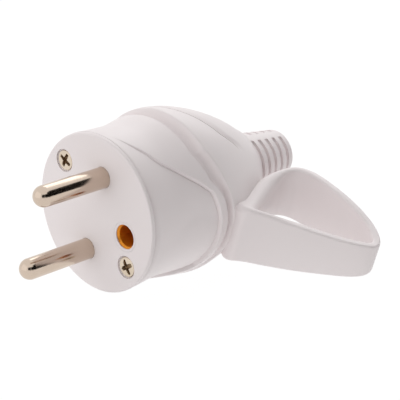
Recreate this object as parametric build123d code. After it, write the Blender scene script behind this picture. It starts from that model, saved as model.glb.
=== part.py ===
from build123d import *
import math
import os

# A two-pin mains plug with an earth socket and a pull ring, lying on its side.
# Sizes are in millimetres, in the plug's own frame: x runs from the face to the cable,
# p from the lower pin to the upper one, and e from the axis towards the earth socket.

# Cover screws, with countersunk heads
cover_screw_angle = 28.5
cover_screw_inset = 2.2
cover_screw_radius = 1.7
cover_screw_head_radius = 2.45
cover_screw_head = 0.35
cover_screw_cone = 0.4
cover_screw_sunk = 0.1
cover_screw_length = 18.0
screw_boss_radius = 2.75
screw_boss_end = 25.0

# Face and body outline
rim_radius = 18.3
rim_round = 0.45
flange_depth = cover_screw_sunk + cover_screw_head + cover_screw_cone
parting_gap = 0.12
waist_x = 9.5
waist_radius = 17.6
bulge_x = 21.0
bulge_radius = 18.4
shoulder_x = 29.0
shoulder_radius = 17.1
slope_x = 34.5
slope_radius = 15.3
body_length = 44.6
tail_length = 5.6
tail_radius = 13.1
collar_radius = 9.6
collar_round = 0.9
cover_wall = 2.2
seat_wall = 1.4
rear_wall = 2.4

# Raised swirl bands, and how far each starts from the bulge
front_band_height = 0.9
rear_band_height = 1.3
groove_width = 3.4
groove_lean = 5.0

# Pull ring
ring_half_width = 6.9
ring_middle_half_width = 5.5
ring_tip_half_width = 4.1
ring_thickness = 2.0
ring_reach = 43.7
ring_back = 8.5
ring_tip_x = 46.4
ring_edge_round = 0.5
ring_inner_round = 1.5

# Pins
pin_radius = 2.4
pin_reach = 19.0
pin_spacing = 19.0
pin_root_radius = 2.9
pin_shoulder = 0.5
pin_collar_radius = 4.0
pin_terminal_radius = 3.3
pin_terminal_end = 16.5

# Earth socket
earth_offset = 10.0
earth_bore_radius = 2.45
earth_tube_radius = 3.4
earth_collar_radius = 4.0
earth_recess = 0.3
earth_mouth = 0.5
earth_bore_depth = 16.0
earth_terminal_end = 24.5
earth_slit = 0.7
spring_ring_wall = 0.3
spring_ring_width = 3.0
spring_ring_gap = 1.2

# Wire terminals
wire_bore_radius = 1.4
wire_bore_depth = 6.0
terminal_chamfer = 0.3
terminal_screw_radius = 1.5
terminal_screw_head_radius = 2.3
terminal_screw_head = 1.6
terminal_screw_stand = 0.5
terminal_screw_inset = 3.4
terminal_screw_start = 0.6
slot_width = 0.7
slot_depth = 0.8

# Pin carrier
carrier_floor = 5.2
collar_depth = 2.0
carrier_depth = 9.0
spigot_wall = 1.5
retainer_thickness = 2.0
retainer_screw_e = -4.0
retainer_screw_radius = 1.3
retainer_screw_head_radius = 2.3
retainer_screw_head = 1.4
retainer_screw_grip = 3.2

# Cord grip
grip_start = 26.5
grip_length = 6.5
grip_half_width = 9.8
grip_groove_radius = 4.1
grip_lip = 1.6
grip_bar_height = 3.6
grip_corner = 1.5
grip_screw_offset = 7.2
grip_screw_radius = 1.5
grip_screw_head_radius = 2.6
grip_screw_head = 1.8
grip_screw_bite = 6.5
tongue_half_width = 3.2
tongue_thickness = 2.6
tongue_drop = 12.2

# Cable sleeve
sleeve_bore_radius = 3.9
sleeve_neck_radius = 6.5
sleeve_flange_radius = 8.2
sleeve_flange = 1.8
sleeve_root_radius = 7.6
sleeve_root_length = 2.2
sleeve_end_radius = 5.8
sleeve_end_round = 0.7
sleeve_reach = 15.4
sleeve_slots = 5
sleeve_slot = 1.1
sleeve_slot_pitch = 2.6
sleeve_slot_depth = 0.9
sleeve_end_ring = 1.8
sleeve_spine = 2.6

# Clearances and screw ends
slip = 0.1
thread_gap = 0.05
screw_end_gap = 0.5

seat_radius = min(rim_radius, waist_radius) - seat_wall
spigot_radius = seat_radius - slip
well_radius = spigot_radius - spigot_wall
far_out = 1.3 * max(rim_radius, bulge_radius)


def rod(radius, start, end, p=0.0, e=0.0):
    base = Plane(origin=(start, -e, p), x_dir=(0, 0, 1), z_dir=(1, 0, 0))
    return extrude(base * Circle(radius), amount=end - start)


def cone(start_radius, end_radius, start, end, p=0.0, e=0.0):
    aligned = (Align.CENTER, Align.CENTER, Align.MIN)
    body = Cone(start_radius, end_radius, end - start, align=aligned)
    return Pos(start, -e, p) * Rot(0, 90, 0) * body


def cross_rod(radius, origin, direction, length):
    x, p, e = origin
    along_p, along_e = direction
    base = Plane(origin=(x, -e, p), z_dir=(0, -along_e, along_p))
    return extrude(base * Circle(radius), amount=length)


def block(x_range, p_range, e_range):
    size = [high - low for low, high in (x_range, e_range, p_range)]
    x, e, p = [(low + high) / 2 for low, high in (x_range, e_range, p_range)]
    return Pos(x, -e, p) * Box(*size)


def turned(*outline):
    face = make_face(Polyline(*outline, close=True))
    return revolve(face, Axis.X)


# Curves in plan are given as (x, e) points
def plan_curve(points, **ends):
    return Spline(*[(x, -e) for x, e in points], **ends)


def plan_lines(points):
    return Polyline(*[(x, -e) for x, e in points])


def pins():
    return (("line", pin_spacing / 2), ("neutral", -pin_spacing / 2))


def cover_screw_spots():
    turn = math.radians(cover_screw_angle)
    circle = seat_radius - cover_screw_inset
    p = circle * math.sin(turn)
    e = circle * math.cos(turn)
    return (("upper", p, -e), ("lower", -p, e))


# Outline of the body: the bands stand highest at the bulge and die out at both ends
def body_stations(raise_by):
    return [
        (flange_depth + parting_gap, rim_radius + raise_by * 0.05),
        (waist_x, waist_radius + raise_by * 0.5),
        (bulge_x, bulge_radius + raise_by),
        (shoulder_x, shoulder_radius + raise_by * 0.6),
        (slope_x, slope_radius + raise_by * 0.25),
        (body_length - tail_length, tail_radius + raise_by * 0.1),
        (body_length - collar_round, collar_radius + collar_round * 0.5),
        (body_length, collar_radius - collar_round * 0.5),
    ]


def body_solid(raise_by):
    stations = body_stations(raise_by)
    skin = Spline(*stations[:-1], tangents=[(1, -0.05), (0.75, -1)])
    lip = ThreePointArc(
        stations[-2],
        (body_length - collar_round * 0.2, collar_radius + collar_round * 0.2),
        stations[-1],
    )
    rear = Polyline(stations[-1], (body_length, 0), (stations[0][0], 0), stations[0])
    # Turned half round, so the seam lies under the pull ring
    return revolve(make_face([skin, lip, rear]), Axis.X).rotate(Axis.X, 180)


def cavity():
    inner = [
        (waist_x + 2, seat_radius),
        (bulge_x, bulge_radius - cover_wall),
        (shoulder_x, shoulder_radius - cover_wall),
        (body_length - tail_length, tail_radius - cover_wall - slip),
        (body_length - rear_wall, sleeve_flange_radius + slip),
    ]
    wall = Spline(*inner, tangents=[(1, 0), (0.7, -1)])
    end = inner[-1]
    rest = Polyline(end, (end[0], 0), (flange_depth, 0), (flange_depth, seat_radius), inner[0])
    return revolve(make_face([wall, rest]), Axis.X)


# The groove between the bands runs past the bulge and leans in under the pull ring
def groove_edge(setback):
    middle = bulge_x - groove_lean + setback
    return [
        (bulge_x + 3.0 + setback * 0.2, bulge_radius * 1.09),
        (bulge_x + 1.3 + setback * 0.4, bulge_radius * 0.95),
        (middle + 2.2, bulge_radius * 0.79),
        (middle + 0.2, bulge_radius * 0.5),
        (middle, 0.0),
        (middle - 0.2, -bulge_radius * 0.35),
        (middle - 1.8, -far_out),
    ]


def front_band_plan():
    edge = plan_curve(
        [
            (flange_depth - 0.1, -4.4),
            (waist_x * 0.41, 2.2),
            (waist_x * 0.82, 8.4),
            (waist_x + 4.0, 13.0),
            (bulge_x - 2.6, 16.2),
            (bulge_x - 0.4, 19.2),
            (bulge_x, far_out),
        ]
    )
    groove = plan_curve(groove_edge(0.0))
    outer = plan_lines([(bulge_x, far_out), (bulge_x + 4, far_out), groove_edge(0.0)[0]])
    face_side = plan_lines(
        [groove_edge(0.0)[-1], (0, -far_out), (0, -4.4), (flange_depth - 0.1, -4.4)]
    )
    return make_face([edge, outer, groove, face_side])


def rear_band_plan():
    start = groove_edge(groove_width)
    rear = body_length + 1
    outer = plan_lines([start[-1], (rear, -far_out), (rear, far_out), (bulge_x + 4, far_out), start[0]])
    return make_face([plan_curve(start), outer])


def band(height, plan):
    return body_solid(height) & extrude(plan, amount=far_out, both=True)


# Pull ring: a flat loop in plan, from the bulge out to its tip and back to the collar
def ring_curve():
    root_x, root_e = bulge_x + 3.0, bulge_radius + 1.0
    back_x, tip_e = body_length + ring_back, ring_reach
    return plan_curve(
        [
            (root_x, root_e),
            (root_x + (ring_tip_x - root_x) * 0.37, root_e + (tip_e - root_e) * 0.5),
            (root_x + (ring_tip_x - root_x) * 0.84, tip_e - 1.4),
            (ring_tip_x, tip_e),
            (back_x - 2.6, tip_e - 3.7),
            (back_x - 0.1, tip_e - 12.0),
            (back_x - 0.1, collar_radius + 11.0),
            (back_x - 1.9, collar_radius + 4.4),
            (body_length, collar_radius + 2.7),
        ],
        tangents=[(0.5, -1), (-1, 0.05)],
    )


def ring_outline():
    loop = ring_curve()
    root_x, root_e = bulge_x + 3.0, bulge_radius + 1.0
    inner_end = (body_length - 2.0, collar_radius)
    inside = plan_lines([(body_length, collar_radius + 2.7), inner_end, (root_x, root_e - 5.0), (root_x, root_e)])
    return make_face([loop, inside])


# The hole's wall runs one thickness inside the loop; its body side is a straight saddle
def ring_hole():
    loop = ring_curve()
    first, last, steps = 0.05, 0.955, 15
    wall = []
    for index in range(steps + 1):
        share = first + (last - first) * index / steps
        along = loop % share
        wall.append(loop @ share + Vector(-along.Y, along.X) * ring_thickness)
    inner = Spline(*wall)
    face = make_face([inner, Line(inner @ 1, inner @ 0)])
    return fillet(face.vertices(), ring_inner_round)


def ring_taper():
    half, middle, tip = ring_half_width, ring_middle_half_width, ring_tip_half_width
    start, knee, end = -5.0, -ring_reach * 0.78, -(ring_reach + 1.0)
    side = Spline((start, half), (-ring_reach * 0.5, half * 0.98), (knee, middle), (end, tip))
    other = Spline((end, -tip), (knee, -middle), (-ring_reach * 0.5, -half * 0.98), (start, -half))
    ends = [Line(side @ 1, other @ 0), Line(other @ 1, side @ 0)]
    face = make_face([side, other] + ends)
    return extrude(Plane.YZ * face, amount=body_length + ring_back + 5)


def pull_ring():
    loop = extrude(ring_outline(), amount=ring_half_width + 1, both=True)
    hole = extrude(ring_hole(), amount=ring_half_width + 2, both=True)
    ring = (loop - hole) & ring_taper()
    rims = [edge for edge in ring.edges() if abs(edge.center().Z) > ring_half_width / 4]
    return fillet(rims, ring_edge_round), hole


def cover():
    body = body_solid(0.0)
    body += band(front_band_height, front_band_plan())
    body += band(rear_band_height, rear_band_plan())
    ring, hole = pull_ring()
    body = body - hole + ring
    hollow = cavity()
    for _, p, e in cover_screw_spots():
        hollow -= rod(screw_boss_radius, carrier_depth + slip, screw_boss_end, p, e)
    body -= hollow
    body -= rod(sleeve_neck_radius + slip, body_length - rear_wall - 1, body_length + 1)
    for _, p, e in cover_screw_spots():
        end = flange_depth + cover_screw_length + screw_end_gap
        body -= rod(cover_screw_radius + thread_gap, flange_depth, end, p, e)
    return body


def pin_carrier():
    shell = rod(rim_radius, 0, flange_depth)
    shell = fillet(shell.edges().sort_by(Axis.X)[0], rim_round)
    shell += rod(spigot_radius, flange_depth, carrier_depth)
    shell -= rod(well_radius, carrier_floor, carrier_depth)
    limit = rod(spigot_radius, 0, carrier_depth)
    for _, p, e in cover_screw_spots():
        shell += rod(screw_boss_radius, carrier_floor, carrier_depth, p, e) & limit
    shell += cord_grip_tongue()
    collar_start = carrier_floor - collar_depth
    play = slip / 2
    for _, p in pins():
        shell -= cone(pin_radius + play, pin_root_radius + play, 0, pin_shoulder, p)
        shell -= rod(pin_root_radius + play, pin_shoulder, carrier_floor, p)
        shell -= rod(pin_collar_radius + slip, collar_start, carrier_floor, p)
    shell -= rod(earth_tube_radius + play, 0, carrier_floor, 0, earth_offset)
    shell -= rod(earth_collar_radius + slip, collar_start, carrier_floor, 0, earth_offset)
    pilot_start = carrier_floor - retainer_screw_grip - screw_end_gap
    pilot = retainer_screw_radius + thread_gap
    shell -= rod(pilot, pilot_start, carrier_floor, 0, retainer_screw_e)
    head_end = cover_screw_sunk + cover_screw_head
    for _, p, e in cover_screw_spots():
        shell -= rod(cover_screw_radius + slip, 0, carrier_depth, p, e)
        shell -= rod(cover_screw_head_radius + 2 * slip, 0, head_end, p, e)
        shell -= cone(
            cover_screw_head_radius + slip, cover_screw_radius + slip, head_end, flange_depth, p, e
        )
    return shell


def cord_grip_tongue():
    end = grip_start + grip_length
    inner_side = -tongue_drop + tongue_thickness
    tongue = block(
        (carrier_floor - collar_depth, end),
        (-tongue_half_width, tongue_half_width),
        (-tongue_drop, inner_side),
    )
    saddle = block(
        (grip_start, end), (-grip_half_width, grip_half_width), (inner_side, -grip_lip)
    )
    saddle = fillet(saddle.edges().filter_by(Axis.X).sort_by(Axis.Y)[2:], grip_corner)
    part = tongue + saddle
    part -= rod(grip_groove_radius, grip_start, end)
    bite = grip_screw_bite + screw_end_gap
    for side in (-1, 1):
        part -= cross_rod(
            grip_screw_radius + thread_gap,
            (grip_start + grip_length / 2, side * grip_screw_offset, -grip_lip - bite),
            (0, 1),
            bite,
        )
    return part


def cord_grip_bar():
    end = grip_start + grip_length
    top = grip_lip + grip_bar_height
    bar = block((grip_start, end), (-grip_half_width, grip_half_width), (grip_lip, top))
    bar = fillet(bar.edges().filter_by(Axis.X).sort_by(Axis.Y)[:2], grip_corner)
    bar -= rod(grip_groove_radius, grip_start, end)
    for side in (-1, 1):
        spot = (grip_start + grip_length / 2, side * grip_screw_offset, grip_lip)
        bar -= cross_rod(grip_screw_radius + slip, spot, (0, 1), grip_bar_height)
    return bar


def cord_grip_screw(side):
    x, p = grip_start + grip_length / 2, side * grip_screw_offset
    seat = grip_lip + grip_bar_height
    top = seat + grip_screw_head
    length = seat + grip_lip + grip_screw_bite
    shank = cross_rod(grip_screw_radius, (x, p, seat), (0, -1), length)
    head = cross_rod(grip_screw_head_radius, (x, p, seat), (0, 1), grip_screw_head)
    head = fillet(head.edges().sort_by(Axis.Y)[0], grip_screw_head / 3)
    half = grip_screw_head_radius + slip
    slot = block(
        (x - half, x + half), (p - slot_width / 2, p + slot_width / 2), (top - slot_depth, top + 1)
    )
    return shank + head - slot


def contact_pin(p):
    shank = rod(pin_radius, -pin_reach, 0, p)
    shank = fillet(shank.edges().sort_by(Axis.X)[0], pin_radius - 0.02)
    # The shoulder behind the face stops the pin from being pulled out
    shoulder = cone(pin_radius, pin_root_radius, 0, pin_shoulder, p)
    root = rod(pin_root_radius, pin_shoulder, carrier_floor - collar_depth, p)
    collar = rod(pin_collar_radius, carrier_floor - collar_depth, carrier_floor, p)
    terminal = rod(pin_terminal_radius, carrier_floor, pin_terminal_end, p)
    terminal = chamfer(terminal.edges().sort_by(Axis.X)[-1], terminal_chamfer)
    pin = shank + shoulder + root + collar + terminal
    pin -= rod(wire_bore_radius, pin_terminal_end - wire_bore_depth, pin_terminal_end, p)
    side = math.copysign(1, p)
    screw_spot = (pin_terminal_end - terminal_screw_inset, p, 0)
    pin -= cross_rod(
        terminal_screw_radius + thread_gap, screw_spot, (side, 0), pin_terminal_radius + 1
    )
    return pin


def terminal_screw(origin, direction, surface):
    x, p, e = origin
    along_p, along_e = direction

    def spot(far):
        return (x, p + along_p * far, e + along_e * far)

    under_head = surface + terminal_screw_stand
    top = under_head + terminal_screw_head
    length = under_head - terminal_screw_start
    shank = cross_rod(terminal_screw_radius, spot(terminal_screw_start), direction, length)
    head = cross_rod(terminal_screw_head_radius, spot(under_head), direction, terminal_screw_head)
    half_p = slot_depth if along_p else slot_width / 2
    half_e = slot_depth if along_e else slot_width / 2
    reach = terminal_screw_head_radius + slip
    _, top_p, top_e = spot(top)
    slot = block((x - reach, x + reach), (top_p - half_p, top_p + half_p), (top_e - half_e, top_e + half_e))
    return shank + head - slot


def earth_sleeve():
    back = earth_recess + earth_bore_depth
    at = (0, earth_offset)
    tube = rod(earth_tube_radius, earth_recess, earth_terminal_end, *at)
    tube = chamfer(tube.edges().sort_by(Axis.X)[-1], terminal_chamfer)
    tube += rod(earth_collar_radius, carrier_floor - collar_depth, carrier_floor, *at)
    tube -= rod(earth_bore_radius, earth_recess, back, *at)
    mouth_end = earth_recess + earth_mouth
    tube -= cone(earth_bore_radius + earth_mouth, earth_bore_radius, earth_recess, mouth_end, *at)
    tube -= rod(wire_bore_radius, earth_terminal_end - wire_bore_depth, earth_terminal_end, *at)
    slit_start = carrier_floor + retainer_thickness + spring_ring_gap
    tube -= block(
        (slit_start, back),
        (-earth_slit / 2, earth_slit / 2),
        (earth_offset - earth_collar_radius, earth_offset + earth_collar_radius),
    )
    tube -= cross_rod(
        terminal_screw_radius + thread_gap,
        (earth_terminal_end - terminal_screw_inset, 0, earth_offset),
        (0, 1),
        earth_tube_radius + 1,
    )
    return tube


def earth_spring():
    start = (carrier_floor + retainer_thickness + earth_recess + earth_bore_depth) / 2
    end = start + spring_ring_width
    inner = earth_tube_radius + thread_gap
    outer = inner + spring_ring_wall
    half_gap = spring_ring_gap / 2
    ring = rod(outer, start, end, 0, earth_offset) - rod(inner, start, end, 0, earth_offset)
    ring -= block((start, end), (0, outer + 1), (earth_offset - half_gap, earth_offset + half_gap))
    return ring


def pin_retainer():
    start, end = carrier_floor, carrier_floor + retainer_thickness
    plate = rod(well_radius - 2 * slip, start, end)
    for _, p, e in cover_screw_spots():
        plate -= rod(screw_boss_radius + 2 * slip, start, end, p, e)
    for _, p in pins():
        plate -= rod(pin_terminal_radius + slip, start, end, p)
    plate -= rod(earth_tube_radius + slip, start, end, 0, earth_offset)
    plate -= rod(retainer_screw_radius + slip, start, end, 0, retainer_screw_e)
    plate -= block(
        (start, end),
        (-tongue_half_width - 2 * slip, tongue_half_width + 2 * slip),
        (-well_radius - 1, -tongue_drop + tongue_thickness + 2 * slip),
    )
    return plate


def retainer_screw():
    seat = carrier_floor + retainer_thickness
    top = seat + retainer_screw_head
    head = rod(retainer_screw_head_radius, seat, top, 0, retainer_screw_e)
    head = fillet(head.edges().sort_by(Axis.X)[-1], retainer_screw_head / 3)
    shank_start = carrier_floor - retainer_screw_grip
    shank = rod(retainer_screw_radius, shank_start, seat, 0, retainer_screw_e)
    half = retainer_screw_head_radius + slip
    slot = block(
        (top - slot_depth, top + 1),
        (-half, half),
        (retainer_screw_e - slot_width / 2, retainer_screw_e + slot_width / 2),
    )
    return head + shank - slot


def cover_screw(p, e):
    head_end = cover_screw_sunk + cover_screw_head
    head = rod(cover_screw_head_radius, cover_screw_sunk, head_end, p, e)
    head = chamfer(head.edges().sort_by(Axis.X)[0], cover_screw_head / 3)
    neck = cone(cover_screw_head_radius, cover_screw_radius, head_end, flange_depth, p, e)
    shank = rod(cover_screw_radius, flange_depth, flange_depth + cover_screw_length, p, e)
    shank = chamfer(shank.edges().sort_by(Axis.X)[-1], cover_screw_radius / 3)
    return head + neck + shank


def cable_sleeve():
    wall_start = body_length - rear_wall
    start = wall_start - sleeve_flange
    end = body_length + sleeve_reach
    taper_start = body_length + sleeve_root_length
    body = turned(
        (start, sleeve_bore_radius),
        (start, sleeve_flange_radius),
        (wall_start - slip, sleeve_flange_radius),
        (wall_start - slip, sleeve_neck_radius),
        (body_length + slip, sleeve_neck_radius),
        (body_length + slip, sleeve_root_radius),
        (taper_start, sleeve_root_radius),
        (end, sleeve_end_radius),
        (end, sleeve_bore_radius),
    )
    outer_end = body.edges().filter_by(GeomType.CIRCLE).group_by(Axis.X)[-1]
    body = fillet(outer_end.sort_by(SortBy.RADIUS)[-1], sleeve_end_round)
    last = end - sleeve_end_ring - sleeve_slot / 2
    for index in range(sleeve_slots):
        middle = last - index * sleeve_slot_pitch
        share = (end - middle) / (end - taper_start)
        radius = sleeve_end_radius + (sleeve_root_radius - sleeve_end_radius) * share
        low, high = middle - sleeve_slot / 2, middle + sleeve_slot / 2
        groove = rod(radius + 2, low, high) - rod(radius - sleeve_slot_depth, low, high)
        groove -= block((low, high), (-far_out, far_out), (-sleeve_spine / 2, sleeve_spine / 2))
        body -= groove
    return body


# The plug rests on its bulge and on the lower corner of the ring's tip
def rest_roll():
    bulge = bulge_radius + rear_band_height
    reach = math.hypot(ring_reach, ring_tip_half_width)
    corner = math.atan2(ring_tip_half_width, ring_reach)
    return math.degrees(math.asin(bulge / reach) - corner)


os.makedirs("parts", exist_ok=True)
nodes = {
    "pin_carrier": pin_carrier(),
    "cover": cover(),
    "pin_retainer": pin_retainer(),
    "retainer_screw": retainer_screw(),
    "cord_grip_bar": cord_grip_bar(),
    "cord_grip_screw_upper": cord_grip_screw(1),
    "cord_grip_screw_lower": cord_grip_screw(-1),
    "earth_sleeve": earth_sleeve(),
    "earth_spring_ring": earth_spring(),
    "cable_sleeve": cable_sleeve(),
}
for name, p in pins():
    nodes[name + "_pin"] = contact_pin(p)
    side = math.copysign(1, p)
    nodes[name + "_terminal_screw"] = terminal_screw(
        (pin_terminal_end - terminal_screw_inset, p, 0), (side, 0), pin_terminal_radius
    )
nodes["earth_terminal_screw"] = terminal_screw(
    (earth_terminal_end - terminal_screw_inset, 0, earth_offset), (0, 1), earth_tube_radius
)
for name, p, e in cover_screw_spots():
    nodes["cover_screw_" + name] = cover_screw(p, e)

roll = rest_roll()
print("roll to rest", round(roll, 3))
for name, solid in nodes.items():
    export_step(solid.rotate(Axis.X, roll), f"parts/{name}.step")
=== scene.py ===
import math
import bpy
import numpy as np
from mathutils import Matrix, Vector


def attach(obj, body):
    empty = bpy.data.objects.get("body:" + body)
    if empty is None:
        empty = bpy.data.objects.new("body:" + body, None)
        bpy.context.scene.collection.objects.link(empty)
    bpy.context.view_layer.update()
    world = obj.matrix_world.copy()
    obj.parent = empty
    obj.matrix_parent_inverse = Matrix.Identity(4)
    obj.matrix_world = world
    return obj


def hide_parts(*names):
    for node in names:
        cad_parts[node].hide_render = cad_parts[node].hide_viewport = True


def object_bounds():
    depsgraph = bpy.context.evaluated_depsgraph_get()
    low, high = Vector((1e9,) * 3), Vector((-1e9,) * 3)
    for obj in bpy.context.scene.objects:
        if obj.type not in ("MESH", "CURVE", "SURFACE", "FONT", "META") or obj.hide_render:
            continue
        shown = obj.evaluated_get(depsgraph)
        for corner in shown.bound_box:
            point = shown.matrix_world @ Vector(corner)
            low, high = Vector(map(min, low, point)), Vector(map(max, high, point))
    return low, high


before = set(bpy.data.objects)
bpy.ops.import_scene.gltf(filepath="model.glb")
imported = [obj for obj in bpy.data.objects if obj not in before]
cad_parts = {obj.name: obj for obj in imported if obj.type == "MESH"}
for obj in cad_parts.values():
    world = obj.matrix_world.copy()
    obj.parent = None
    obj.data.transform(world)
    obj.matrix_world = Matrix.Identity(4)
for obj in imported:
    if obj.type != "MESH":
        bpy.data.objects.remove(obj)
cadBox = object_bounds()
mm = 0.001
fullTurn = 2 * np.pi
print("frame loaded", len(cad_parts), "nodes")

# The plug lies rolled about its own axis, so its pull ring touches the table
restRoll = math.radians(21.309)


# Plug frame in mm to the row's frame in metres: x along the axis, p and e across it, both rolled
def place(x, p, e):
    x, p, e = np.broadcast_arrays(x, p, e)
    c, s = math.cos(restRoll), math.sin(restRoll)
    return np.stack([x, -e * c - p * s, -e * s + p * c], -1) * mm


def smooth(t):  # 0 to 1 with level ends
    t = np.clip(t, 0, 1)
    return t * t * (3 - 2 * t)


def ramp(x, start, run):  # 0 before the start, 1 once the run is over
    return smooth((x - start) / run)


def bell(x, centre, width):  # 1 at the centre, gone about two widths away
    return np.exp(-((x - centre) / width) ** 2)


# Cubic Hermite curve through the knots, with slopes from the neighbours
def curveThrough(knots, values, at):
    knots, values = np.asarray(knots, float), np.asarray(values, float)
    slope = np.gradient(values, knots)
    i = np.clip(np.searchsorted(knots, at) - 1, 0, len(knots) - 2)
    step = knots[i + 1] - knots[i]
    t = np.clip((at - knots[i]) / step, 0, 1)
    rise = t * t * (3 - 2 * t)
    lead = (t ** 3 - 2 * t * t + t) * slope[i] + (t ** 3 - t * t) * slope[i + 1]
    return values[i] * (1 - rise) + values[i + 1] * rise + step * lead


# Catmull-Rom curve round a closed list of rows: each span is a cubic of the four rows around it
def closedCurve(points, count):
    points = np.asarray(points, float)
    total = len(points)
    s = np.arange(count) * total / count
    i, t = s.astype(int), (s % 1)[:, None]
    a, b, c, d = [points[(i + k) % total] for k in (-1, 0, 1, 2)]
    square = (2 * a - 5 * b + 4 * c - d) * t ** 2
    cube = (3 * b - a - 3 * c + d) * t ** 3
    return 0.5 * (2 * b + (c - a) * t + square + cube)


def addObject(name, data):
    thing = bpy.data.objects.new(name, data)
    bpy.context.scene.collection.objects.link(thing)
    return thing


# Quads over a grid of points whose columns always close; a cap is a fan over the first or last row
def gridMesh(name, points, closeRows, material, caps=()):
    rows, columns = points.shape[:2]
    index = np.arange(rows * columns).reshape(rows, columns)
    if closeRows:
        index = np.vstack([index, index[:1]])
    index = np.hstack([index, index[:, :1]])
    corners = [index[:-1, :-1], index[:-1, 1:], index[1:, 1:], index[1:, :-1]]
    vertices = points.reshape(-1, 3)
    faces = np.stack(corners, -1).reshape(-1, 4).tolist()
    for row in caps:
        centre = len(vertices)
        vertices = np.vstack([vertices, points[row].mean(0)])
        edge = index[row]
        pairs = zip(edge[1:], edge[:-1]) if row == 0 else zip(edge[:-1], edge[1:])
        faces += [[int(b), int(a), centre] for a, b in pairs]
    triangles = np.array([[f[0], f[k], f[k + 1]] for f in faces for k in range(1, len(f) - 1)])
    corner = vertices[triangles]
    # A negative volume means that the faces point inwards
    if np.einsum("ij,ij->", corner[:, 0], np.cross(corner[:, 1], corner[:, 2])) < 0:
        faces = [f[::-1] for f in faces]
    mesh = bpy.data.meshes.new(name)
    mesh.from_pydata(vertices.tolist(), [], faces)
    mesh.polygons.foreach_set("use_smooth", [True] * len(faces))
    mesh.materials.append(material)
    mesh.update()
    piece = addObject(name, mesh)
    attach(piece, "root")
    print(name, len(triangles), "triangles")
    return piece


# A section in mm as (x, radius) pairs, turned into rows of a grid
def sectionRows(section, angles):
    x, r = np.array(section, float).T[:, :, None] + 0 * angles
    return x, r


def hexColour(code):  # sRGB hex to linear
    parts = [int(code[i:i + 2], 16) / 255 for i in (1, 3, 5)]
    linear = [c / 12.92 if c <= 0.04045 else ((c + 0.055) / 1.055) ** 2.4 for c in parts]
    return (*linear, 1.0)


def addNode(tree, kind, links=(), **settings):
    node = tree.nodes.new(kind)
    for name, value in settings.items():
        if name in node.inputs:
            node.inputs[name].default_value = value
        else:
            setattr(node, name, value)
    for socket, source in links:
        tree.links.new(source, node.inputs[socket])
    return node


def newMaterial(name):
    material = bpy.data.materials.new(name)
    material.use_nodes = True
    tree = material.node_tree
    tree.nodes.clear()
    output = tree.nodes.new("ShaderNodeOutputMaterial")
    return material, tree, output


# Size of one patch or grain in mm. Real mould grain is finer, and is drawn coarse enough to show
pattern = {
    "plasticPatch": 16.667, "plasticGrain": 0.33333, "metalPatch": 5.5556, "grainHeight": 0.02,
}


def noiseOver(tree, spot, size, detail):
    return addNode(tree, "ShaderNodeTexNoise", [("Vector", spot)],
                   Scale=1 / (size * mm), Detail=detail).outputs["Fac"]


def cloudyColour(tree, cloud, colour, shade):
    tone = addNode(tree, "ShaderNodeMix", [("Factor", cloud)], data_type="RGBA")
    tone.inputs[6].default_value = hexColour(shade)  # a Mix node's colours: 6, 7 and output 2
    tone.inputs[7].default_value = hexColour(colour)
    return tone.outputs[2]


def mouldedPlastic(name, colour, shade, roughness, bump):
    material, tree, output = newMaterial(name)
    spot = addNode(tree, "ShaderNodeTexCoord").outputs["Object"]
    cloud = noiseOver(tree, spot, pattern["plasticPatch"], detail=3.0)
    tone = cloudyColour(tree, cloud, colour, shade)
    grain = noiseOver(tree, spot, pattern["plasticGrain"], detail=2.0)
    relief = addNode(tree, "ShaderNodeBump", [("Height", grain)],
                     Strength=bump, Distance=pattern["grainHeight"] * mm)
    shader = addNode(tree, "ShaderNodeBsdfPrincipled",
                     [("Base Color", tone), ("Normal", relief.outputs["Normal"])],
                     Roughness=roughness, IOR=1.49)  # as for polypropylene
    tree.links.new(shader.outputs[0], output.inputs[0])
    return material


def platedMetal(name, colour, shade, roughness, metallic=1.0):
    material, tree, output = newMaterial(name)
    spot = addNode(tree, "ShaderNodeTexCoord").outputs["Object"]
    cloud = noiseOver(tree, spot, pattern["metalPatch"], detail=4.0)
    tone = cloudyColour(tree, cloud, colour, shade)
    shader = addNode(tree, "ShaderNodeBsdfPrincipled", [("Base Color", tone)],
                     Roughness=roughness, Metallic=metallic)
    tree.links.new(shader.outputs[0], output.inputs[0])
    return material


# Polypropylene from a fine-grained mould: a soft satin sheen with no sharp highlight
whitePlastic = mouldedPlastic("mouldedWhitePolypropylene", "#efe7e7", "#ece3e3",
                              roughness=0.42, bump=0.1)
# Nylon of the hidden plates: greyer and duller than the cover
innerPlastic = mouldedPlastic("mouldedGreyNylon", "#d8d4cf", "#d0ccc7",
                              roughness=0.5, bump=0.15)
# Bright nickel over turned brass: clear reflections with a warm cast
nickel = platedMetal("nickelPlatedBrass", "#d6c5b5", "#c8b6a6", roughness=0.17)
# The same plating on a cold-headed screw, which is paler and a little less smooth
screwNickel = platedMetal("nickelPlatedScrew", "#e9dccb", "#cbb9a2", roughness=0.2)
# Pressed walls of the cross recess: a darker colour, painted shade in the recess, and rougher, with
# blurred highlights
recessShadeNickel = platedMetal("nickelWithPaintedRecessShade", "#a08a70", "#80694f", roughness=0.4)
# Drawn brass inside the earth tube: orange, and kept half metallic so that it glows in its bore
brass = platedMetal("drawnBrass", "#f6a42c", "#e88c18", roughness=0.35, metallic=0.5)
# Zinc on the terminal screws and spring: neutral and satin
steel = platedMetal("zincPlatedSteel", "#c2c4c4", "#b2b4b4", roughness=0.3)

finishes = {
    "pin_carrier": whitePlastic, "cover": whitePlastic, "cable_sleeve": whitePlastic,
    "pin_retainer": innerPlastic, "cord_grip_bar": innerPlastic,
    "line_pin": nickel, "neutral_pin": nickel, "earth_sleeve": brass,
    "cover_screw_upper": screwNickel, "cover_screw_lower": screwNickel,
}
for name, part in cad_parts.items():
    part.data.materials.clear()
    part.data.materials.append(finishes.get(name, steel))
print("materials set")

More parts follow.
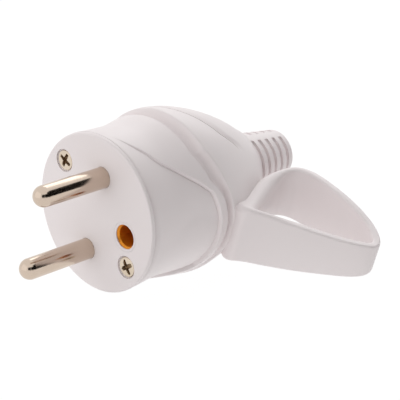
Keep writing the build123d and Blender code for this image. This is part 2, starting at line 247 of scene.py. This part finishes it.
# Cover in mm. A plan edge gives x against e, as the swirl lines run when seen along p
cover = {
    "front": 0.97, "lipStart": 43.7, "lipRound": 0.9, "frontEase": 0.12,
    "stations": [0.97, 9.5, 21.0, 29.0, 34.5, 39.0, 43.7],
    "radii": [18.3, 17.6, 18.4, 17.1, 15.3, 13.1, 10.05],
    "bandWeight": [0.05, 0.5, 1.0, 0.6, 0.25, 0.1, 0.0],  # share of a band's height at a station
    "frontBand": 0.9, "rearBand": 1.3, "grooveFloor": -0.85,
    "frontEdge": ([-60, -4.4, 2.2, 8.4, 13.0, 16.2, 19.2, 24],
                  [1.0, 1.0, 3.9, 7.8, 13.5, 18.4, 20.6, 21.6]),
    "grooveEdge": ([-24, -6.5, 0, 9.3, 14.6, 17.4, 20.0, 24],
                   [14.4, 15.9, 16.0, 16.3, 18.3, 21.6, 23.9, 25.0]),
    "rearEdge": ([-24, -6.5, 0, 9.3, 14.6, 17.4, 20.0, 24],
                 [17.8, 19.2, 19.4, 19.7, 21.9, 23.9, 24.9, 26.0]),
    "tailLine": ([-24, -12, -4.1, 2.0, 6.2, 8.5, 24],
                 [17.0, 20.5, 23.8, 27.0, 29.4, 32.8, 44.0]),
    "searchFrom": 15.0, "searches": 60, "searchPull": 0.4, "meanBand": 0.8,
    "leastFrontBand": 0.5, "leastGroove": 0.7, "tailAfterGroove": 2.3, "tailLimit": 41.0,
    "stepLead": 0.05, "stepRun": 0.45, "stepFade": (1.6, 4.0),  # start and run
    "creaseDepth": 0.32, "creaseWidth": 0.17,
    "grooveDrop": 0.35, "grooveLag": 0.3, "slowShare": 0.25, "riseFrom": 0.62,
    "tailDepth": 0.6, "tailWidth": 0.2, "twinDepth": 0.3, "twinLead": 0.95,
    "tailUnderFade": (-0.1, 0.5), "tailFarFade": (-1.05, 0.35), "tailRingFade": (0.42, 0.2),
    "shelfDepth": 0.5, "shelfRun": 2.2, "shelfEdge": 0.3,
    "flareHeight": 1.3, "flareTurn": 0.36, "flareAt": 27.5, "flareReach": 3.6, "flareRun": 1.5,
    # Hollow as (x, radius), from the sleeve's hole back to the front
    "inside": [(44.6, 8.2), (44.6, 6.6), (42.2, 6.6), (42.2, 8.3), (39.0, 10.8), (34.5, 13.1),
               (29.0, 14.9), (21.0, 16.1), (11.5, 16.2), (1.2, 16.2), (0.97, 16.4), (0.97, 17.4)],
    # Grid: where rows begin and end round each line, and how many lie between those places
    "margins": [(-0.45, 0.55), (-0.3, 0.5), (0.6,), (-1.4, 0.6)],
    "rows": [10, 11, 22, 11, 18, 10, 22, 22], "lipRows": 7, "columns": 400,
}
theta = np.linspace(0, fullTurn, cover["columns"], endpoint=False)


# Where a plan edge crosses each meridian of the body, found by repeating e = radius * sin(theta)
def edgePlace(edge):
    x = np.full(len(theta), cover["searchFrom"])
    for _ in range(cover["searches"]):
        radius = np.interp(x, cover["stations"], cover["radii"]) + cover["meanBand"]
        found = np.interp(radius * np.sin(theta), *edge)
        x = (1 - cover["searchPull"]) * x + cover["searchPull"] * found
    return x


lineOne = np.maximum(edgePlace(cover["frontEdge"]), cover["front"] + cover["leastFrontBand"])
grooveLow = edgePlace(cover["grooveEdge"])
grooveHigh = np.maximum(edgePlace(cover["rearEdge"]), grooveLow + cover["leastGroove"])
lineThree = np.clip(edgePlace(cover["tailLine"]), grooveHigh + cover["tailAfterGroove"],
                    cover["tailLimit"])
grooveWidth = grooveHigh - grooveLow


# Radius over x and theta: the turned body, plus the front band up to the groove, plus the rear band
# that rises out of the groove's floor, plus the tail lines and the flare at the ring's root
def skinRadius(x):
    base = curveThrough(cover["stations"], cover["radii"], x)
    weight = curveThrough(cover["stations"], cover["bandWeight"], x)
    return base + bandHeight(x, weight) + tailHeight(x) + flareHeight(x)


# A step up at line one with a crease at its foot, which fade where the line meets the front
def bandHeight(x, weight):
    started = ramp(lineOne, *cover["stepFade"])
    step = ramp(x, lineOne - cover["stepLead"], cover["stepRun"]) * started + (1 - started)
    crease = -cover["creaseDepth"] * started * bell(x, lineOne, cover["creaseWidth"])
    front = cover["frontBand"] * weight * step + crease
    # The groove drops sharply, rises slowly over its width, then faster to the rear band
    drop = ramp(x, grooveLow, cover["grooveDrop"])
    slow = ramp(x, grooveLow + cover["grooveLag"], grooveWidth)
    fast = ramp(x, grooveLow + cover["riseFrom"] * grooveWidth,
                (1 - cover["riseFrom"]) * grooveWidth + cover["grooveLag"])
    rise = cover["slowShare"] * slow + (1 - cover["slowShare"]) * fast
    rear = cover["grooveFloor"] + (cover["rearBand"] * weight - cover["grooveFloor"]) * rise
    return front * (1 - drop) + rear * drop


# Two creases and a shallow shelf behind the second, on the upper side and fading before the ring
def tailHeight(x):
    shown = ramp(np.cos(theta), *cover["tailUnderFade"])
    shown = shown * ramp(np.sin(theta), *cover["tailFarFade"])
    shown = shown * (1 - ramp(np.sin(theta), *cover["tailRingFade"]))
    twin = cover["twinDepth"] * bell(x, lineThree - cover["twinLead"], cover["tailWidth"])
    line = cover["tailDepth"] * bell(x, lineThree, cover["tailWidth"])
    fall = smooth((lineThree + cover["shelfRun"] - x) / cover["shelfRun"])
    shelf = cover["shelfDepth"] * fall * ramp(x, lineThree, cover["shelfEdge"])
    return -shown * (twin + line + shelf)


# A mound on the meridian of the ring, where the ring grows out of the rear band
def flareHeight(x):
    turn = (theta + np.pi / 2) % fullTurn - np.pi
    mound = bell(turn, 0, cover["flareTurn"]) * bell(x, cover["flareAt"], cover["flareReach"])
    return cover["flareHeight"] * mound * ramp(x, grooveLow + cover["grooveLag"], cover["flareRun"])


# Rows of x between neighbouring lines, closer together where the surface turns sharply
front = np.full(len(theta), cover["front"])
end = np.full(len(theta), cover["lipStart"])
stops = [front]
for line, margins in zip((lineOne, grooveLow, grooveHigh, lineThree), cover["margins"]):
    stops += [line + margin for margin in margins]
stops.append(end)
spans = zip(stops[:-1], stops[1:], cover["rows"])
xGrid = np.vstack([a + (b - a) * np.linspace(0, 1, count, endpoint=b is end)[:, None]
                   for a, b, count in spans])
rGrid = skinRadius(xGrid)
quarter = np.linspace(0, 1, cover["lipRows"])[1:, None] * np.pi / 2
lipX = cover["lipStart"] + cover["lipRound"] * np.sin(quarter) + 0 * theta
lipR = rGrid[-1] - cover["lipRound"] * (1 - np.cos(quarter))
innerX, innerR = sectionRows(cover["inside"], theta)
x = np.vstack([xGrid, lipX, innerX])
r = np.vstack([rGrid, lipR, innerR])
r[0] -= cover["frontEase"]
skin = gridMesh("coverSkin", place(x, r * np.cos(theta), r * np.sin(theta)), True, whitePlastic)
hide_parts("cover")

# Pull ring in mm: a rounded section carried round two closed plan curves of (x, e), outer and inner
ring = {
    "outer": [(24.6, 20.6), (27.6, 25.3), (32.3, 31.6), (38.0, 38.1), (43.0, 42.6), (46.6, 43.8),
              (49.7, 41.6), (51.8, 37.4), (52.8, 32.0), (53.1, 26.0), (52.9, 19.5), (52.0, 15.6),
              (50.2, 13.2), (47.0, 12.1), (42.5, 11.2), (36.0, 12.0), (28.5, 14.0), (25.2, 17.0)],
    "inner": [(28.0, 22.8), (30.2, 26.3), (33.8, 30.3), (39.4, 36.8), (44.0, 41.0), (46.4, 41.8),
              (48.1, 40.2), (49.8, 36.9), (50.8, 31.8), (51.1, 26.0), (50.9, 19.9), (50.2, 16.7),
              (48.8, 14.9), (46.4, 14.2), (42.5, 15.1), (37.5, 17.3), (32.3, 19.7), (28.9, 21.5)],
    "half": [6.9, 6.65, 6.0, 5.05, 4.5, 4.25, 4.5, 5.05, 5.85,
             6.5, 6.85, 6.8, 6.6, 6.2, 5.5, 5.1, 5.4, 6.4],
    "round": [1.6, 0.9, 0.55, 0.55, 0.55, 0.6, 0.7, 0.6, 0.55,
              0.55, 0.6, 0.8, 1.2, 1.6, 2.0, 2.2, 2.2, 2.0],
    "lowerRound": 0.6, "roundLimit": 2.2, "steps": 360, "cornerSteps": 7,
    "tipCut": 1.5, "tipAt": (50.5, 40.5), "tipReach": (5.0, 7.0),
    "rootDrop": 1.3, "rootAt": (24.0, 18.5), "rootReach": (2.5, 3.0),
}
rows = zip(ring["outer"], ring["inner"], ring["half"], ring["round"])
path = closedCurve([o + i + (h, c) for o, i, h, c in rows], ring["steps"])
outer, innerSide, half = path[:, 0:2], path[:, 2:4], path[:, 4]
across = innerSide - outer
thickness = np.linalg.norm(across, axis=1)
# Section: a rounded rectangle, as the sign of each corner and the direction of its arc
arc = np.linspace(0, np.pi / 2, ring["cornerSteps"])
sideways, upward, signs = [], [], []
for a, b in ((1, 1), (-1, 1), (-1, -1), (1, -1)):
    angles = arc if a * b > 0 else arc[::-1]
    sideways += list(a * np.cos(angles))
    upward += list(b * np.sin(angles))
    signs += [(a, b)] * len(angles)
sideways, upward, signs = np.array(sideways), np.array(upward), np.array(signs)
cornerRadius = np.where(signs[:, 1] > 0, path[:, 5:6], ring["lowerRound"])
cornerRadius = np.minimum(cornerRadius, thickness[:, None] / ring["roundLimit"])
halfThick = thickness[:, None] / 2
u = signs[:, 0] * (halfThick - cornerRadius) + sideways * cornerRadius
v = signs[:, 1] * (half[:, None] - cornerRadius) + upward * cornerRadius


def nearness(at, reach):  # a mound in plan round one place of the outer curve
    away = (outer - np.array(at)) / np.array(reach)
    return np.exp(-(away ** 2).sum(1))[:, None]


# The lower edge rises round the tip's far corner, and drops a little at the root
lift = ring["tipCut"] * nearness(ring["tipAt"], ring["tipReach"])
lift = lift - ring["rootDrop"] * nearness(ring["rootAt"], ring["rootReach"])
v = np.where(v < 0, v + lift, v)
middle = (outer + innerSide) / 2
unit = across / thickness[:, None]
sectionX = middle[:, :1] - unit[:, :1] * u
sectionE = middle[:, 1:] - unit[:, 1:] * u
loop = gridMesh("pullRing", place(sectionX, v, sectionE), True, whitePlastic)
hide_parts("cover")
print("cover built")

# Cover screws in mm: a cross recess pressed into a slightly domed countersunk head
screw = {
    "circle": 14.0, "angle": 28.5, "spins": {"upper": 0.2, "lower": 0.75},
    "head": 2.3, "shank": 1.7, "top": 0.1, "rim": 0.32, "neck": 0.45, "seat": 0.85, "end": 18.85,
    "point": 0.6, "pointShare": 0.66, "dome": 0.12, "arm": 1.85, "armSlope": 0.55,
    "slot": 0.42, "rootShare": 1.25, "taper": 0.45, "depth": 1.0, "edge": 0.12,
    "centreHole": 0.04, "rimWidth": 0.1, "rows": 42, "columns": 120, "darkFrom": 0.25,
}
phi = np.linspace(0, fullTurn, screw["columns"], endpoint=False)
lean = math.radians(screw["angle"])
headR = np.linspace(screw["centreHole"], screw["head"] - screw["rimWidth"], screw["rows"])[:, None]
headR = headR + 0 * phi
wall = [(screw["rim"], screw["head"]), (screw["neck"], screw["head"]),
        (screw["seat"], screw["shank"]), (screw["end"] - screw["point"], screw["shank"]),
        (screw["end"], screw["shank"] * screw["pointShare"])]
wallX, wallR = sectionRows(wall, phi)
for name, side in (("upper", 1), ("lower", -1)):
    centreP = side * screw["circle"] * math.sin(lean)
    centreE = -side * screw["circle"] * math.cos(lean)
    turned = phi - screw["spins"][name]
    a, b = np.abs(headR * np.cos(turned)), np.abs(headR * np.sin(turned))
    # Depth of the cross: full inside either arm, sloping up at its sides and toward its end
    wide = screw["slot"] * (screw["rootShare"] - screw["taper"] * headR / screw["arm"])
    inCross = smooth((wide - np.minimum(a, b)) / screw["edge"] + 0.5)
    depth = screw["depth"] * inCross * smooth((screw["arm"] - headR) / screw["armSlope"])
    headX = screw["top"] + screw["dome"] * (headR / screw["head"]) ** 2 + depth
    x, r = np.vstack([headX, wallX]), np.vstack([headR, wallR])
    points = place(x, centreP + r * np.cos(phi), centreE + r * np.sin(phi))
    head = gridMesh("screw" + name.capitalize(), points, False, screwNickel, caps=(0, -1))
    # The recess and the fan at its centre take the darker nickel, which paints shade into the
    # recess
    head.data.materials.append(recessShadeNickel)
    finish = np.zeros(len(head.data.polygons), int)
    dark = (depth[:-1] + depth[1:]) / 2 > screw["darkFrom"]
    finish[:dark.size] = dark.ravel()
    finish[-2 * len(phi):-len(phi)] = 1
    head.data.polygons.foreach_set("material_index", finish)
    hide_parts("cover_screw_" + name)

# Lip of the face before the earth tube's end, in mm, which leaves only a thin brass edge showing
lip = {"centreE": 10.0, "bore": 2.78, "outer": 3.45, "front": 0.0, "back": 0.28, "round": 0.08}
section = [(lip["front"], lip["outer"]), (lip["front"], lip["bore"] + lip["round"]),
           (lip["front"] + lip["round"], lip["bore"]), (lip["back"], lip["bore"]),
           (lip["back"], lip["outer"])]
x, r = sectionRows(section, phi)
points = place(x, r * np.cos(phi), lip["centreE"] + r * np.sin(phi))
mouth = gridMesh("earthLip", points, True, whitePlastic)

# Camera, on the photograph's side of the plug, in mm
camera = {
    "place": (-205.221, -240.733, 99.668), "target": (16.940, -16.028, 1.653),
    "roll": -3.054, "lens": 135.0,
}


def facing(spot, target):  # stands at the spot with -Z towards the target, in metres
    turn = (Vector(target) - Vector(spot)).to_track_quat("-Z", "Y").to_matrix().to_4x4()
    return Matrix.Translation(spot) @ turn


cameraData = bpy.data.cameras.new("photoCamera")
cameraData.lens = camera["lens"]
cameraData.clip_start = 0.01
cameraObject = addObject("photoCamera", cameraData)
stand = facing(Vector(camera["place"]) * mm, Vector(camera["target"]) * mm)
cameraObject.matrix_world = stand @ Matrix.Rotation(math.radians(camera["roll"]), 4, "Z")
bpy.context.scene.camera = cameraObject

# Studio in metres: the floor and the world are white to the camera and in reflections. The floor
# keeps the plug's soft shadow, and lights the plug from below as a brightly lit white table does
studio = {
    "world": 0.95, "aim": (0.02, -0.01, 0),
    # Softboxes: place, size and power
    "lamps": {"behindRight": ((0.4, 0.15, 0.35), (0.4, 0.3), 0.5),
              "faceFill": ((-0.5, 0.15, 0.2), (0.7, 0.5), 0.2)},
    "floorColour": "#f6f5f4", "floorGlow": 1.04, "floorSeen": 0.92, "table": 0.96, "reach": 1.2,
    # Cards: place and half sizes
    "cardColour": "#161514",
    "cards": [((-0.255, -0.262, 0.112), 0.10, 0.10), ((-0.05, -0.41, 0.13), 0.15, 0.13),
              ((0.22, -0.36, 0.16), 0.20, 0.20)],
}
white = (1, 1, 1, 1)


def flatPiece(name, w, h, z, material):  # a rectangle of two half sizes, at height z
    mesh = bpy.data.meshes.new(name)
    mesh.from_pydata([(-w, -h, z), (w, -h, z), (w, h, z), (-w, h, z)], [], [(0, 1, 2, 3)])
    mesh.materials.append(material)
    return addObject(name, mesh)


def seenRays(tree, rays):  # 1 for camera and glossy rays
    return addNode(tree, "ShaderNodeMath",
                   [(0, rays.outputs["Is Camera Ray"]), (1, rays.outputs["Is Glossy Ray"])],
                   operation="ADD", use_clamp=True).outputs[0]


def mixShaders(tree, share, first, second, target):
    blend = addNode(tree, "ShaderNodeMixShader",
                    [(0, share), (1, first.outputs[0]), (2, second.outputs[0])])
    tree.links.new(blend.outputs[0], target)


paleFloor, tree, output = newMaterial("paleFloor")
paper = addNode(tree, "ShaderNodeBsdfDiffuse", Color=hexColour(studio["floorColour"]))
glow = addNode(tree, "ShaderNodeEmission", Color=white, Strength=studio["floorGlow"])
rays = addNode(tree, "ShaderNodeLightPath")
share = addNode(tree, "ShaderNodeMath", [(0, seenRays(tree, rays))], operation="MULTIPLY")
share.inputs[1].default_value = studio["floorSeen"]
under = addNode(tree, "ShaderNodeMath",
                [(0, rays.outputs["Is Diffuse Ray"]), (2, share.outputs[0])],
                operation="MULTIPLY_ADD")
under.inputs[1].default_value = studio["table"]
mixShaders(tree, under.outputs[0], paper, glow, output.inputs[0])
floor = flatPiece("floor", studio["reach"], studio["reach"], cadBox[0][2], paleFloor)

world = bpy.data.worlds.new("studio")
world.use_nodes = True
tree = world.node_tree
plain = tree.nodes["Background"]
plain.inputs["Color"].default_value = white
plain.inputs["Strength"].default_value = studio["world"]
shown = addNode(tree, "ShaderNodeBackground", Color=white, Strength=1.0)
rays = addNode(tree, "ShaderNodeLightPath")
mixShaders(tree, seenRays(tree, rays), plain, shown, tree.nodes["World Output"].inputs[0])
bpy.context.scene.world = world

# Dark cards beside the camera and to its right: the pins mirror them, and the camera can't see them
darkCard, tree, output = newMaterial("darkCard")
felt = addNode(tree, "ShaderNodeBsdfDiffuse", Color=hexColour(studio["cardColour"]))
clear = addNode(tree, "ShaderNodeBsdfTransparent")
rays = addNode(tree, "ShaderNodeLightPath")
mixShaders(tree, rays.outputs["Is Camera Ray"], felt, clear, output.inputs[0])
for number, (spot, w, h) in enumerate(studio["cards"]):
    card = flatPiece("darkCard" + str(number), w, h, 0, darkCard)
    card.matrix_world = facing(spot, (0, 0, 0))

for name, (spot, size, power) in studio["lamps"].items():
    softbox = bpy.data.lights.new(name, "AREA")
    softbox.shape = "RECTANGLE"
    softbox.size, softbox.size_y = size
    softbox.energy = power
    addObject(name, softbox).matrix_world = facing(spot, studio["aim"])

bpy.context.scene.view_settings.view_transform = "Standard"
print("stage set")
